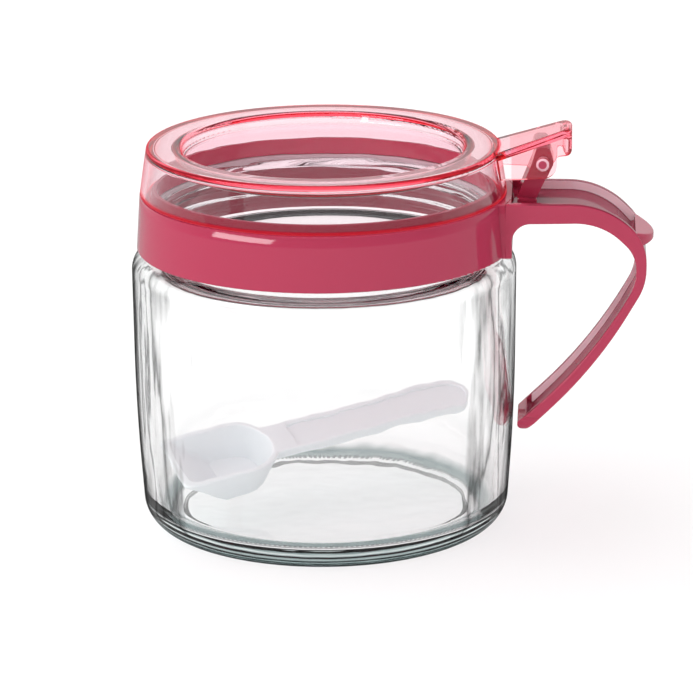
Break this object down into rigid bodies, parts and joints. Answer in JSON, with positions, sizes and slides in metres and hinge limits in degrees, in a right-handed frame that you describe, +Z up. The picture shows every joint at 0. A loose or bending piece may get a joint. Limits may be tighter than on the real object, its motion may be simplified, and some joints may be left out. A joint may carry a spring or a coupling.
{
  "type": "condiment jar",
  "caption": "Round glass condiment jar with a screw-on plastic collar, side handle, hinged clear lid with a thumb lever, and a loose scoop inside.",
  "frame": {"origin": "centre of the jar's foot, on the plane it stands on", "axes": "+Z up along the jar's axis, +X towards the handle, +Y to the left of the handle seen from outside it"},
  "size_m": [0.1301, 0.096, 0.1024],
  "materials": {
    "jar_glass": "clear, faintly grey-green, fire polished",
    "seal_rubber": "translucent, smooth",
    "rose_plastic": "opaque dusty rose, glossy",
    "pin_plastic": "opaque rose, glossy",
    "clear_rose_plastic": "clear, faint rose tint, polished",
    "frosted_plastic": "milky clear, satin"
  },
  "bodies": {
    "jar": {"glass_jar": "jar_glass"},
    "seal": {"sealing_ring": "seal_rubber"},
    "collar": {"handle_collar": "rose_plastic", "hinge_pin": "pin_plastic"},
    "lid": {"lid": "clear_rose_plastic"},
    "scoop": {"scoop": "frosted_plastic"}
  },
  "joints": [
    {"name": "collar_turn", "type": "hinge", "parent": "jar", "child": "seal", "pos_m": [0, 0, 0.0826], "axis": [0, 0, 1], "range_deg": [0, 120]},
    {"name": "collar_lift", "type": "slide", "parent": "seal", "child": "collar", "axis": [0, 0, 1], "range_m": [0, 0.065]},
    {"name": "lid_hinge", "type": "hinge", "parent": "collar", "child": "lid", "pos_m": [0.0545, 0, 0.0938], "axis": [0, 1, 0], "range_deg": [0, 105]},
    {"name": "scoop_lift", "type": "slide", "parent": "jar", "child": "scoop", "axis": [0, 0, 1], "range_m": [0, 0.025]}
  ]
}
